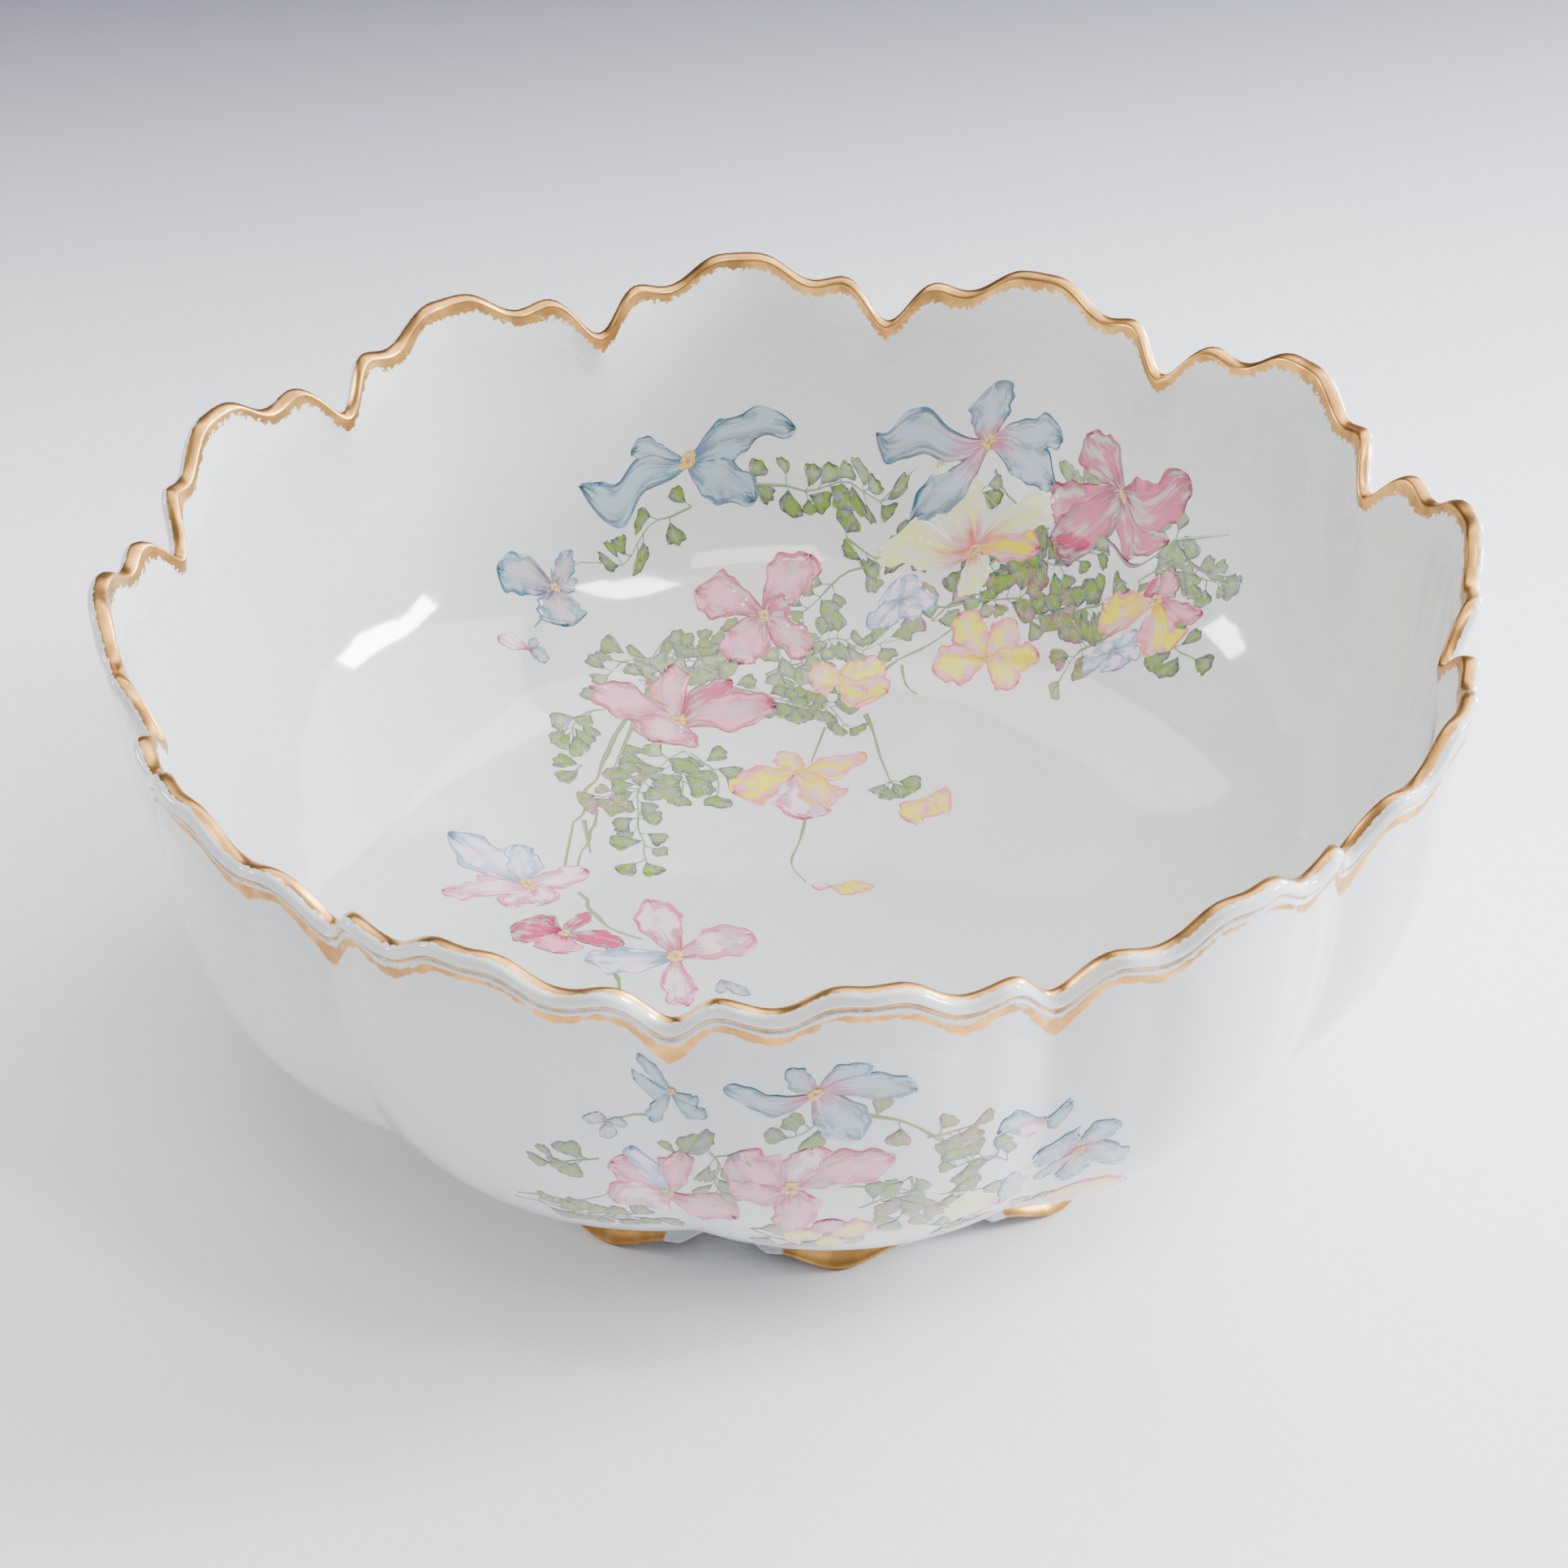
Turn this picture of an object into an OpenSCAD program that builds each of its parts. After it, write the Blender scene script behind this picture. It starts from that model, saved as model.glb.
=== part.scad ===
// A lobed and footed porcelain serving bowl. Its wall rises in equal lobes with a sharp crease
// between each two, the rim is scalloped and gilded, and a scrolled foot stands under each lobe.

/* [Bowl] */
// Diameter of the rim, across the middles of two opposite lobes
rim_d = 250; // [200:1:320]
// Height from the table to the tops of the lobes
bowl_h = 98.5; // [80:0.5:140]
// Height of the underside over the table, which the feet fill
underside_h = 11.6; // [9:0.1:18]
// Radius of the flat middle of the underside
flat_r = 23.6; // [10:0.1:40]
// Number of lobes, each with a foot under it
lobes = 12; // [8:1:16]

/* [Wall] */
// Thickness of the wall in the middle of a lobe
wall_t = 3.4; // [2.6:0.1:5]
// Thickness of the floor
floor_t = 4.4; // [3:0.1:7]
// Thickness of the rolled edge of the rim
edge_t = 3.2; // [2.4:0.1:4.4]
// How much the wall leans out between the floor and the mouth
splay = 2.25; // [0:0.05:8]
// Depth of the creases between the lobes, at the mouth
crease_d = 6.2; // [3:0.1:8]
// Depth of the same creases down by the feet
crease_low_d = 3.9; // [2:0.1:6]
// How much thinner the wall is in a crease, where the inside is smoother
crease_thinning = 1.2; // [0:0.1:1.6]
// Roundness of the wall's upper curve, where 2 is an ellipse
upper_round = 3.18; // [2:0.01:5]
// Roundness of its lower curve, where 2 is an ellipse
lower_round = 3.74; // [2:0.01:5]

/* [Rim] */
// How far the lip flares out of the wall
lip_flare = 1.5; // [0:0.1:4]
// Depth over which the lip flares
lip_h = 12; // [10.5:0.5:20]
// How far the wall's curve starts below the tops of the lobes
shoulder_drop = 4.5; // [0:0.1:10]
// Drop of the edge between the middle scallop and a side scallop
dip_drop = 5.6; // [1:0.1:10]
// Drop of the edge at the top of a side scallop
side_drop = 4.3; // [1:0.1:9]
// Drop of the edge at a crease
crease_drop = 12.1; // [6:0.1:18]
// How far in the edge steps between the scallops
dip_in = 2.5; // [0.5:0.1:5]
// How far in the edge steps at a side scallop
side_in = 2.4; // [0.5:0.1:5]
// How far in the edge steps at a crease
crease_in = 7.1; // [4:0.1:9]
// Height of the bead that is moulded under the edge
bead_relief = 0.4; // [0:0.05:0.8]
// Depth of the groove under the bead
groove_relief = 0.3; // [0:0.05:0.6]

/* [Gilding] */
// Thickness of the fired gold, drawn thick enough to be a solid
gold_t = 0.15; // [0.1:0.01:0.3]
// Depth of the gold band inside the rim
inner_band_h = 4.6; // [3:0.1:7]
// Depth of the gold outside the rim, over the edge
outer_edge_h = 1.1; // [0.8:0.1:1.5]
// Depth of the upper side of the thin line in the groove
line_top = 2.6; // [2.4:0.1:2.8]
// Width of that line
line_w = 0.6; // [0.4:0.1:0.9]
// Depth of the upper side of the lower band
band_top = 4.6; // [4.2:0.1:5]
// Width of the lower band
band_w = 1.3; // [0.8:0.1:2]
// How much further the gold runs down at a crease
drip_h = 2.8; // [0:0.1:3.5]

/* [Feet] */
// Radius of the lip that the feet stand on
foot_lip_r = 81.2; // [77:0.1:88]
// Radius of the inner side of a foot, where it meets the underside
foot_in_r = 60; // [50:0.5:64]
// Radius of its outer side, where it meets the underside
foot_out_r = 74; // [70:0.5:76]
// Width of the lip that touches the table
foot_lip_w = 2.6; // [1.5:0.1:4]
// Height of the lip's edge
foot_lip_h = 1.3; // [0.8:0.1:2.5]
// How far in the neck of a foot is pressed under its outer side
foot_neck_in = 2; // [0:0.1:4]
// Lift of the lip's edge between the middle scallop and a side scallop
foot_dip_lift = 2.2; // [0.5:0.1:4]
// Lift of the edge at a side scallop
foot_side_lift = 2; // [0.5:0.1:4]
// Lift that the edge would reach at a crease
foot_crease_lift = 8; // [4:0.1:8.5]
// How far in the lip steps between its scallops
foot_dip_in = 1.3; // [0:0.1:3]
// How far in the lip would step at a crease
foot_crease_in = 7; // [2:0.1:9]

/* [Hidden] */
// The grid: steps in half a lobe, where step 3 is the dip and step 4 the side scallop's top
half_steps = 6;
cols = 2 * half_steps * lobes;
dip_t = 3 / half_steps;
side_t = 4 / half_steps;
// A foot's lip is flat for one step each way, and the foot stops one step short of each crease
pad_t = 1 / half_steps;
foot_steps = half_steps - 1;
gilt_steps = 3;
// The way that the hollow side of a foot faces: out and up
gilt_way = [0.6, 0.8];

wall_r = rim_d / 2 - lip_flare - splay;
mouth_z = bowl_h - shoulder_drop;
inner_flat_r = flat_r - wall_t / 2;

// Radii that the rows of the underside pass through, in the middle of a lobe
under_r = [
    flat_r, foot_in_r, (foot_in_r + foot_out_r) / 2, foot_out_r,
    for (share = [0.25, 0.48, 0.68]) foot_out_r + share * (wall_r - foot_out_r)
];
// Shares of the height that the rows of the wall lie at, from the mouth down to the floor
wall_rows = [0.7, 0.57, 0.44, 0.31, 0.21];
inner_rows = [0.2, 0.34, 0.48, 0.62, 0.75];
inner_floor_rows = [0.84, 0.66, 0.42, 0];
first_foot_row = 1;
last_foot_row = 3;

// Drop or step of a scalloped edge, from 0 in the middle of a lobe (t = 0) to its value at a
// crease (t = 1): one parabola for the middle scallop and one for the side scallop
function scallop(t, flat, dip, side, crease) = min(
    dip * pow(max(t - flat, 0) / (dip_t - flat), 2),
    side + (crease - side) * pow((t - side_t) / (1 - side_t), 2)
);
function edge_z(t) = bowl_h - scallop(t, 0, dip_drop, side_drop, crease_drop);
function edge_r(t) = rim_d / 2 - scallop(t, 0, dip_in, side_in, crease_in);

// Share of the depth at which the wall's curve has come in to the share g of its radius
function curve_depth(g) = pow(1 - pow(g, lower_round), 1 / upper_round);
// Radius of that curve at the share s of its depth
function curve_r(s, flat, full) =
    flat + (full - flat) * pow(max(1 - pow(max(s, 0), upper_round), 0), 1 / lower_round)
    + splay * (1 - max(s, 0));
function crease_at(s, r) = (crease_low_d + (crease_d - crease_low_d) * (1 - max(s, 0))) * r / wall_r;

// The outside: a parabolic lobe, so that two lobes meet in a sharp crease
function outer_r(z, t) =
    let(s = (mouth_z - z) / (mouth_z - underside_h))
    let(r = curve_r(s, flat_r, wall_r))
    r - crease_at(s, r) * t * t;
// The inside: the same lobes, but rounded over the creases
function inner_r(z, t) =
    let(floor_z = underside_h + floor_t)
    let(s = (mouth_z - z) / (mouth_z - floor_z))
    let(r = curve_r(s, inner_flat_r, wall_r - wall_t))
    r - max(crease_at(s, r) - crease_thinning, 0) * (1 - max(s, 0)) * (1 - cos(180 * t)) / 2;
// The lip's flare fades out below the edge
function flare(t, depth) =
    (edge_r(t) - outer_r(edge_z(t), t)) * pow(max(1 - depth / lip_h, 0), 2);

function lip_outer(t, depth, relief) =
    let(z = edge_z(t) - depth)
    [outer_r(z, t) + flare(t, depth) + relief, z];
function lip_inner(t, depth) =
    let(z = edge_z(t) - depth)
    let(fade = pow(max(1 - depth / lip_h, 0), 2))
    [inner_r(z, t) * (1 - fade) + (edge_r(t) - edge_t) * fade, z];
// Gold gathers in the creases, so the edges of the gold and the grid's rows dip there
function run_down(t) = drip_h * pow(t, 6);

// One section through the wall, from the flat of the underside over the rim to the floor
function wall_section(t) =
    let(full = edge_z(t) - underside_h)
    let(floor_z = underside_h + floor_t)
    let(inner_full = edge_z(t) - floor_z)
    concat(
        [
            for (r = under_r)
                let(z = underside_h + full * (1 - curve_depth((r - flat_r) / (wall_r - flat_r))))
                [outer_r(z, t), z]
        ],
        [for (s = wall_rows) let(z = underside_h + full * (1 - s)) [outer_r(z, t), z]],
        [
            lip_outer(t, band_top + band_w + drip_h + 1.4, 0),
            lip_outer(t, band_top + band_w + run_down(t), 0),
            lip_outer(t, band_top, bead_relief / 2),
            lip_outer(t, line_top + line_w, -groove_relief),
            lip_outer(t, line_top, -groove_relief),
            lip_outer(t, (outer_edge_h + line_top) / 2, bead_relief),
            lip_outer(t, outer_edge_h, 0)
        ],
        [
            for (side = [0.12, 0.5, 0.88])
                [edge_r(t) - edge_t * side, edge_z(t) - pow(2 * side - 1, 2) * 0.8]
        ],
        [
            lip_inner(t, outer_edge_h + 0.3),
            lip_inner(t, inner_band_h + run_down(t)),
            lip_inner(t, inner_band_h + drip_h + 3)
        ],
        [for (s = inner_rows) let(z = floor_z + inner_full * (1 - s)) [inner_r(z, t), z]],
        [
            for (g = inner_floor_rows)
                let(z = floor_z + inner_full * (1 - curve_depth(g)))
                [inner_r(z, t), z]
        ]
    );

SECTIONS = [for (k = [0:half_steps]) wall_section(k / half_steps)];
low_band_row = len(under_r) + len(wall_rows) + 1;
line_row = low_band_row + 2;
edge_row = line_row + 3;
inner_band_row = edge_row + 5;
last_row = len(SECTIONS[0]) - 1;

// Steps from column j to the middle of its lobe
function fold(j) =
    let(within = (j + half_steps + cols) % (2 * half_steps))
    abs(within - half_steps);
// A point [radius, height] of column j, placed in the bowl. Column 0 faces the front
function spot(j, p) = [p[0] * sin(360 * j / cols), -p[0] * cos(360 * j / cols), p[1]];
// A point of row i, lifted off the surface by h, square to its neighbours in the section
function lifted(section, i, h) =
    let(run = section[i + 1] - section[i - 1])
    section[i] + h * [run[1], -run[0]] / norm(run);

// Triangles between the points from number a and those from number b. Every strip has its
// diagonals the same way, so that pieces made on the same points meet face to face
function strip(a, b, points, close_points) = [
    for (j = [0:points - (close_points ? 1 : 2)])
        let(k = (j + 1) % points)
        each [[a + j, b + k, a + k], [a + j, b + j, b + k]]
];
// Triangles of a grid of rings
function quads(rings, points, close_rings, close_points) = [
    for (i = [0:rings - (close_rings ? 1 : 2)])
        each strip(i * points, ((i + 1) % rings) * points, points, close_points)
];

// The porcelain wall: rings of points from the underside over the rim to the floor
module wall() {
    rings = [for (i = [0:last_row]) [for (j = [0:cols - 1]) spot(j, SECTIONS[fold(j)][i])]];
    under = [for (j = [0:cols - 1]) j];
    floor_ring = [for (j = [cols - 1:-1:0]) last_row * cols + j];
    polyhedron(
        [for (ring = rings) each ring],
        concat(quads(len(rings), cols, false, true), [under, floor_ring])
    );
}

// A closed skin between a grid of points and the same grid lifted off it
module skin(under, over, close_points) {
    rows = len(under);
    points = len(under[0]);
    sheet = quads(rows, points, false, close_points);
    top = rows * points;
    last = (rows - 1) * points;
    near = concat([for (i = [0:rows - 1]) i * points], [for (i = [rows - 1:-1:0]) top + i * points]);
    far = [for (i = [2 * rows - 1:-1:0]) near[i] + points - 1];
    polyhedron(
        [for (row = concat(under, over)) each row],
        concat(
            [for (f = sheet) [f[0], f[2], f[1]]],
            [for (f = sheet) [f[0] + top, f[1] + top, f[2] + top]],
            strip(0, top, points, close_points),
            strip(top + last, last, points, close_points),
            close_points ? [] : [near, far]
        )
    );
}

// A skin of gold on the wall's rows from first to last
module gold_skin(first, last) {
    under = [for (i = [first:last]) [for (j = [0:cols - 1]) spot(j, SECTIONS[fold(j)][i])]];
    over = [
        for (i = [first:last])
            [for (j = [0:cols - 1]) spot(j, lifted(SECTIONS[fold(j)], i, gold_t))]
    ];
    skin(under, over, true);
}

function foot_lip(t) = foot_lip_r - scallop(t, pad_t, foot_dip_in, foot_dip_in, foot_crease_in);
function foot_edge(t) = scallop(t, pad_t, foot_dip_lift, foot_side_lift, foot_crease_lift);
// The outer side of a foot, from its lip up to the underside: hollow, with a flared lip
function foot_face(t) =
    let(top = SECTIONS[round(t * half_steps)][last_foot_row])
    let(lip = [foot_lip(t), foot_edge(t) + foot_lip_h])
    let(rise = top[1] - lip[1])
    let(neck_r = min(top[0], lip[0]) - foot_neck_in)
    [
        lip,
        [lip[0] + (neck_r - lip[0]) * 0.62, lip[1] + rise * 0.22],
        [neck_r, lip[1] + rise * 0.6],
        top
    ];
// One section through a foot: its seat on the underside, its hollow outer side and its lip
function foot_section(t) =
    let(wall = SECTIONS[round(t * half_steps)])
    let(seat = [for (i = [first_foot_row:last_foot_row - 1]) wall[i]])
    let(face = foot_face(t))
    let(bottom = foot_edge(t))
    concat(
        seat,
        [for (i = [3:-1:0]) face[i]],
        [
            [foot_lip(t) - 0.5, bottom],
            [foot_lip(t) - 0.5 - foot_lip_w, bottom],
            [foot_in_r + (foot_lip(t) - foot_in_r) * 0.35, (bottom + wall[first_foot_row][1]) / 2]
        ]
    );

// Closed sections side by side, one for each column, with flat ends
module swept(sections) {
    size = len(sections[0]);
    near = [for (i = [0:size - 1]) i];
    far = [for (i = [size - 1:-1:0]) (len(sections) - 1) * size + i];
    sides = quads(len(sections), size, false, true);
    polyhedron([for (section = sections) each section], concat(sides, [near, far]));
}

// The foot under lobe n, pressed in a mould and luted to the underside
module foot(n) {
    swept([
        for (k = [-foot_steps:foot_steps])
            [for (p = foot_section(abs(k) / half_steps)) spot(2 * half_steps * (n - 1) + k, p)]
    ]);
}

// The gold on the middle scallop of the foot under lobe n
module foot_gold(n) {
    faces = [for (k = [-gilt_steps:gilt_steps]) foot_face(abs(k) / half_steps)];
    first = 2 * half_steps * (n - 1) - gilt_steps;
    under = [for (i = [0:2]) [for (k = [0:2 * gilt_steps]) spot(first + k, faces[k][i])]];
    over = [
        for (i = [0:2])
            [for (k = [0:2 * gilt_steps]) spot(first + k, faces[k][i] + gold_t * gilt_way)]
    ];
    skin(under, over, false);
}

function numbered(word, n) = str(word, n < 10 ? "_0" : "_", n);

module bowl_body() {
    color("ghostwhite") wall();
}
module rim_gilding() {
    color("goldenrod") gold_skin(edge_row, inner_band_row);
}
module groove_gilding() {
    color("goldenrod") gold_skin(line_row, line_row + 1);
}
module drip_gilding() {
    color("goldenrod") gold_skin(low_band_row, low_band_row + 1);
}
module foot_under(n) {
    color("ghostwhite") foot(n);
}
module foot_gilding(n) {
    color("goldenrod") foot_gold(n);
}

bowl_body();
rim_gilding();
groove_gilding();
drip_gilding();
for (n = [1:lobes]) foot_under(n);
for (n = [1:lobes]) foot_gilding(n);
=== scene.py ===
# A footed porcelain serving bowl with a scalloped gilded rim and printed flowers, in metres.
import numpy as np
import bpy
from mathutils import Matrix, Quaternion, Vector


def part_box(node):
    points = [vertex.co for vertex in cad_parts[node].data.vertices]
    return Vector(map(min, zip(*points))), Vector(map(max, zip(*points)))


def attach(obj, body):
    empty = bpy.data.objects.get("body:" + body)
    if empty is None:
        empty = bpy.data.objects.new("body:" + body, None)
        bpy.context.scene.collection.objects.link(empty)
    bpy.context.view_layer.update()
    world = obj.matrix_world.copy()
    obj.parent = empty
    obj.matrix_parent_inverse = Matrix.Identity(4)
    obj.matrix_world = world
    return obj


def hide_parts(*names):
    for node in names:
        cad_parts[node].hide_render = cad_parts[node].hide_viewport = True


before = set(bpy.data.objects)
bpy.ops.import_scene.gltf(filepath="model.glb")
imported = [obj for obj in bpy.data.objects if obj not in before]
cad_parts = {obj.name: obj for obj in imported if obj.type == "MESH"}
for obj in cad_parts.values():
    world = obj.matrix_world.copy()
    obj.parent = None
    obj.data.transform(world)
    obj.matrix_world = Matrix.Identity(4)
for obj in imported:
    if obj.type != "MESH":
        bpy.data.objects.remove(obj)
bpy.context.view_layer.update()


# --- Camera -----------------------------------------------------------------------------------
# A short telephoto looks down into the bowl from the front, a little left of the front lobe.

MM = 0.001
body_low, body_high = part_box("bowl_body")
BOWL_H = body_high.z
RIM_R = body_high.x
CAMERA_AT = Vector((-47.9, -521.5, 421.8)) * MM
CAMERA_AIM = Vector((-4.0, -20.4, 63.1)) * MM
CAMERA_LENS = 78.57
CAMERA_ROLL = -0.474


def aim(obj, place, target, roll_degrees=0.0):
    """Puts obj at place, turns its -Z axis towards target, then rolls it about that axis."""
    obj.location = place
    obj.rotation_mode = "QUATERNION"
    roll = Quaternion((0, 0, 1), np.radians(roll_degrees))
    obj.rotation_quaternion = (target - place).to_track_quat("-Z", "Y") @ roll


camera_data = bpy.data.cameras.new("camera")
camera_data.lens = CAMERA_LENS
camera_data.sensor_width = 36
camera = bpy.data.objects.new("camera", camera_data)
bpy.context.scene.collection.objects.link(camera)
aim(camera, CAMERA_AT, CAMERA_AIM, CAMERA_ROLL)
bpy.context.scene.camera = camera


# --- Table, backdrop and lights ---------------------------------------------------------------
# A pale sweep of paper under the bowl and the softboxes that light it. None of it is the bowl.

class Socket:
    """A shader socket that can be used in Python arithmetic: each operator adds a Math node."""

    def __init__(self, tree, link):
        self.tree = tree
        self.link = link

    def math(self, operation, *values):
        return out(node(self.tree, "ShaderNodeMath", {"operation": operation},
                        **{str(i): v for i, v in enumerate(values)}))

    def __add__(self, other):
        return self.math("ADD", self, other)

    def __radd__(self, other):
        return self.math("ADD", other, self)

    def __sub__(self, other):
        return self.math("SUBTRACT", self, other)

    def __rsub__(self, other):
        return self.math("SUBTRACT", other, self)

    def __mul__(self, other):
        return self.math("MULTIPLY", self, other)

    def size(self):
        return self.math("ABSOLUTE", self)

    def larger(self, other):
        return self.math("MAXIMUM", self, other)

    def step(self, start, end):
        """0 below start, 1 above end, and smooth between."""
        return out(node(self.tree, "ShaderNodeMapRange", {"interpolation_type": "SMOOTHSTEP"},
                        Value=self, **{"From Min": start, "From Max": end}))


def node(tree, kind, settings=None, **inputs):
    """Adds a node, sets its settings, then gives its sockets their values or links.
    A socket is named by its label, or by its number when its label repeats."""
    made = tree.nodes.new(kind)
    for key, value in (settings or {}).items():
        setattr(made, key, value)
    for key, value in inputs.items():
        socket = made.inputs[int(key)] if key.isdigit() else made.inputs[key]
        if isinstance(value, Socket):
            tree.links.new(value.link, socket)
        else:
            socket.default_value = value
    return made


def out(made, name=0):
    """The named or numbered output of a node, as a Socket."""
    return Socket(made.id_data, made.outputs[name])


def material(name, look, *values):
    """A new material: one Principled shader with the inputs that look(tree, *values) gives."""
    made = bpy.data.materials.new(name)
    made.use_nodes = True
    tree = made.node_tree
    tree.nodes.clear()
    shader = node(tree, "ShaderNodeBsdfPrincipled", None, **look(tree, *values))
    node(tree, "ShaderNodeOutputMaterial", None, Surface=out(shader))
    return made


def mix(tree, factor, a, b):
    """Mixes the colours a and b by factor."""
    made = node(tree, "ShaderNodeMix", {"data_type": "RGBA"}, **{"0": factor, "6": a, "7": b})
    return out(made, 2)


def object_place(tree):
    """The piece's Object coordinates, as a Socket."""
    return out(node(tree, "ShaderNodeTexCoord"), "Object")


def noise(tree, where, scale, detail=2.0):
    """Smooth noise around 0.5 over the coordinates where."""
    return out(node(tree, "ShaderNodeTexNoise", None, Vector=where, Scale=scale, Detail=detail))


def link_mesh(name, verts, faces):
    """Makes a smooth-shaded object from points and faces, and links it to the scene."""
    mesh = bpy.data.meshes.new(name)
    mesh.from_pydata(np.asarray(verts).tolist(), [], faces)
    mesh.update()
    mesh.polygons.foreach_set("use_smooth", np.full(len(mesh.polygons), True))
    obj = bpy.data.objects.new(name, mesh)
    bpy.context.scene.collection.objects.link(obj)
    return obj


# The paper's colour runs from pale at the front to near black at the back: the dark is painted shade
# where the light falls off, not the paper's own colour.
PAPER_FRONT = (0.96, 0.955, 0.99, 1)
PAPER_BACK_PAINTED_SHADE = (0.08, 0.077, 0.125, 1)
PAPER_SHADE = (0.02, 0.62)


def paper(tree):
    """Pale paper with a faint grain, darkened towards the back by painted shade."""
    place_in = object_place(tree)
    back = out(node(tree, "ShaderNodeSeparateXYZ", None, Vector=place_in), "Y")
    bump = node(tree, "ShaderNodeBump", None, Strength=0.12, Distance=0.0004,
                Height=noise(tree, place_in, 900.0))
    return {"Base Color": mix(tree, back.step(*PAPER_SHADE), PAPER_FRONT, PAPER_BACK_PAINTED_SHADE),
            "Roughness": 0.8, "Normal": out(bump)}


def sweep():
    """Flat under the bowl, then a quarter circle up into a wall behind it."""
    turn = np.linspace(0, np.pi / 2, 24)
    depth = np.concatenate([[-1.6, 0.5], 0.9 + 0.8 * np.sin(turn), [1.7]])
    height = np.concatenate([[0, 0], 0.8 - 0.8 * np.cos(turn), [2.6]])
    across = np.array([-2.4, 2.4])
    grid = np.stack(np.broadcast_arrays(across[None, :], depth[:, None], height[:, None]), -1)
    row = np.arange(len(depth) - 1) * 2
    faces = np.stack([row, row + 1, row + 3, row + 2], -1).tolist()
    return link_mesh("backdrop", grid.reshape(-1, 3), faces)


backdrop = sweep()
backdrop.data.materials.append(material("backdrop_paper", paper))

# Each softbox: name, direction it stands in (degrees round from the front, degrees up), width,
# height, power and colour
WHITE = (1.0, 0.985, 0.97)
DAYLIGHT = (0.90, 0.95, 1.0)
SOFTBOXES = [
    ("overhead_right", 46, 58, 0.10, 0.26, 3.6, WHITE),
    ("overhead_front", 5, 56, 0.50, 0.18, 2.2, WHITE),
    ("overhead_back", 184, 56, 0.8, 0.5, 4.0, WHITE),
    ("overhead", 20, 86, 1.0, 1.0, 6.5, WHITE),
    ("side_right", 88, 19, 0.26, 0.26, 24.0, DAYLIGHT),
    ("side_right_back", 126, 9, 0.2, 0.2, 12.0, DAYLIGHT),
    ("back_right", 118, 34, 1.2, 1.2, 24.0, DAYLIGHT),
    ("side_left", 257, 21, 0.22, 0.22, 5.5, WHITE),
    ("left_large", 262, 36, 1.0, 1.0, 1.0, WHITE),
]
SOFTBOX_FAR = 1.1


def softbox(name, around, up, width, height, power, colour):
    """An area light that faces the bowl from SOFTBOX_FAR away."""
    data = bpy.data.lights.new(name, "AREA")
    data.shape = "RECTANGLE"
    data.size, data.size_y = width, height
    data.energy = power
    data.color = colour
    lamp = bpy.data.objects.new(name, data)
    bpy.context.scene.collection.objects.link(lamp)
    a, e = np.radians(around), np.radians(up)
    way = Vector((np.sin(a) * np.cos(e), -np.cos(a) * np.cos(e), np.sin(e)))
    centre = Vector((0, 0, BOWL_H / 2))
    aim(lamp, centre + way * SOFTBOX_FAR, centre)


for box in SOFTBOXES:
    softbox(*box)

ROOM_COLOUR = (0.93, 0.94, 1.0, 1)
ROOM_STRENGTH = 0.30
world = bpy.data.worlds.new("room")
world.use_nodes = True
world.node_tree.nodes["Background"].inputs[0].default_value = ROOM_COLOUR
world.node_tree.nodes["Background"].inputs[1].default_value = ROOM_STRENGTH
bpy.context.scene.world = world


# --- Bowl body --------------------------------------------------------------------------------
# The porcelain shell, jolleyed in a lobed mould and glazed all over: twelve lobes with a sharp
# crease between each two, a rolled scalloped edge, and fine moulded lines under it.

LOBES = 12
WALL_T = 3.4 * MM
FLOOR_T = 4.4 * MM
EDGE_T = 3.2 * MM
UNDERSIDE_H = 11.6 * MM
FLAT_R = 23.6 * MM
SPLAY = 2.25 * MM
LIP_FLARE = 1.5 * MM
LIP_H = 12 * MM
MOUTH_Z = BOWL_H - 4.5 * MM
WALL_R = RIM_R - LIP_FLARE - SPLAY
CREASE_D = 6.2 * MM
CREASE_LOW_D = 3.9 * MM
CREASE_THINNING = 1.2 * MM
UPPER_ROUND = 3.18
LOWER_ROUND = 3.74
EDGE_MIDDLE_Z = 94.0 * MM
EDGE_MIDDLE_R = 122.4 * MM
EDGE_WAVES_Z = np.array([4.21, -0.09, 1.72, -1.33, 0.13, -0.15]) * MM
EDGE_WAVES_R = np.array([2.60, -0.68, 0.87, -0.38, 0.11, 0.08]) * MM
CREASE_SOFT_OUT = 0.06
CREASE_SOFT_IN = 0.20
FLUTE_D = 0.55 * MM
FLUTE_T = 0.5
FLUTE_WIDE_T = 0.13
FLUTE_H = 45 * MM
ROLL_H = 1.1 * MM
WARP_IN = 0.0054
WARP_IN_TURN = np.radians(24)
WARP_UP = 1.32 * MM
WARP_UP_TURN = np.radians(29)
FULL_OUT = MOUTH_Z - UNDERSIDE_H
FULL_IN = FULL_OUT - FLOOR_T
HALF_LOBE_COLUMNS = 27
ROLL_ROWS = 13
# Rows under the rim, down the wall and across the bottom, outside and inside
ROWS_OUT = (28, 34, 18)
ROWS_IN = (22, 40, 24)
# The bead, the groove, the low ridge and the step: height, depth under the edge and width, in mm
GROOVE_AT = 2.95
RELIEF = [(0.52, 1.75, 0.62), (-0.40, GROOVE_AT, 0.34), (0.34, 3.8, 0.48), (-0.18, 4.6, 0.25)]


def lobe_share(angle):
    """0 in the middle of a lobe and 1 at a crease."""
    step = 2 * np.pi / LOBES
    return np.abs((angle + step / 2) % step - step / 2) / (step / 2)


def waves(t, sizes):
    """A sum of cosines that repeats with each lobe: one wave a lobe, then two, and so on."""
    return sum(size * np.cos(k * np.pi * t) for k, size in enumerate(sizes, 1))


def edge_z(t):
    """Height of the rim's edge: a high scallop, a dip each side of it, and a notch at the crease."""
    return EDGE_MIDDLE_Z + waves(t, EDGE_WAVES_Z)


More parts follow.
